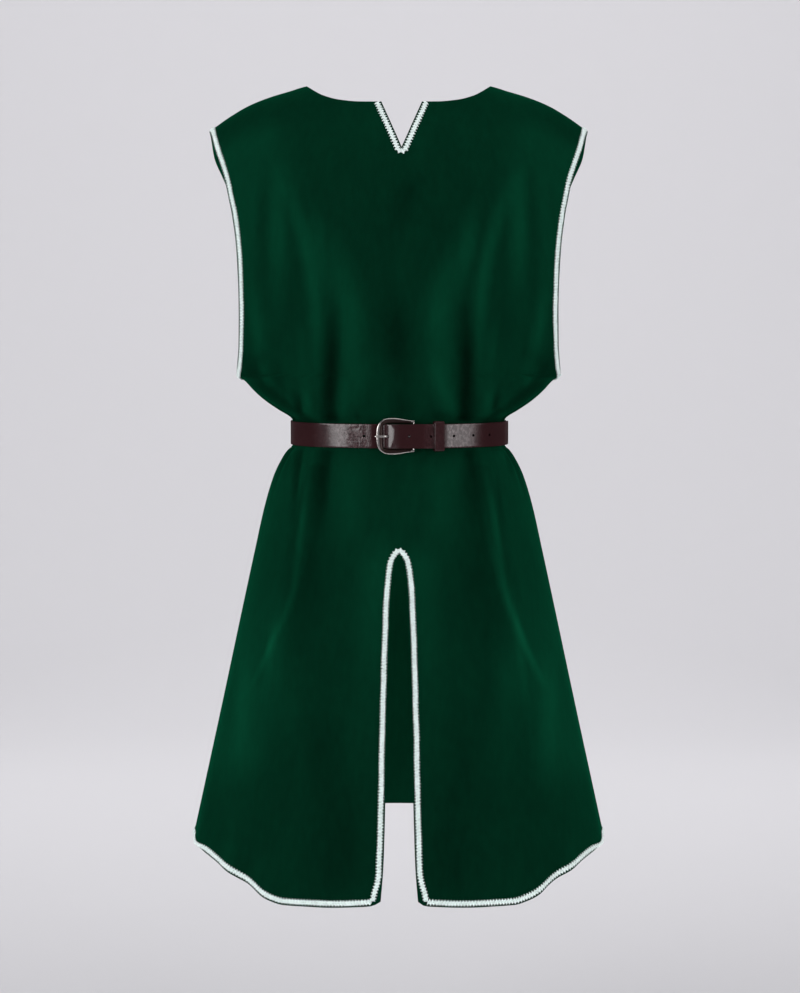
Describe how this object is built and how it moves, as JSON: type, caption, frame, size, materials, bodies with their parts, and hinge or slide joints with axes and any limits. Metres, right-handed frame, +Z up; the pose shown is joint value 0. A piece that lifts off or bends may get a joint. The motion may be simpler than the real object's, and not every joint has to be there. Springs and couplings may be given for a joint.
{
  "type": "sleeveless medieval tunic dress with belt, filled out as worn, with no wearer or stand",
  "caption": "Hollow worn-form sleeveless velvet tunic: notched neck, open armholes, waist gathered under a buckled leather belt, flared skirt with a long front slit, braid edging.",
  "frame": {"origin": "midway between the two neck points at the top of the shoulder seams, on the underside of the cloth, where the wearer's shoulders carry it", "axes": "+X to the viewer's right as seen from the front, +Y from the front of the garment to its back, +Z up"},
  "size_m": [0.5604, 0.333, 1.0652],
  "materials": {
    "velvet": "deep green short-pile velvet with a soft sheen",
    "braid": "off-white gimp braid with a silky thread",
    "belt_leather": "glossy dark brown-burgundy leather with a crinkled grain",
    "buckle_metal": "polished nickel-coloured metal"
  },
  "bodies": {
    "root": {"front_panel": "velvet", "back_panel": "velvet", "neck_braid": "braid", "armhole_braid_left": "braid", "armhole_braid_right": "braid", "slit_braid": "braid", "hem_braid_front_left": "braid", "hem_braid_front_right": "braid", "hem_braid_back": "braid", "belt_strap": "belt_leather", "belt_keeper": "belt_leather", "buckle_frame": "buckle_metal", "buckle_prong": "buckle_metal"}
  },
  "joints": []
}
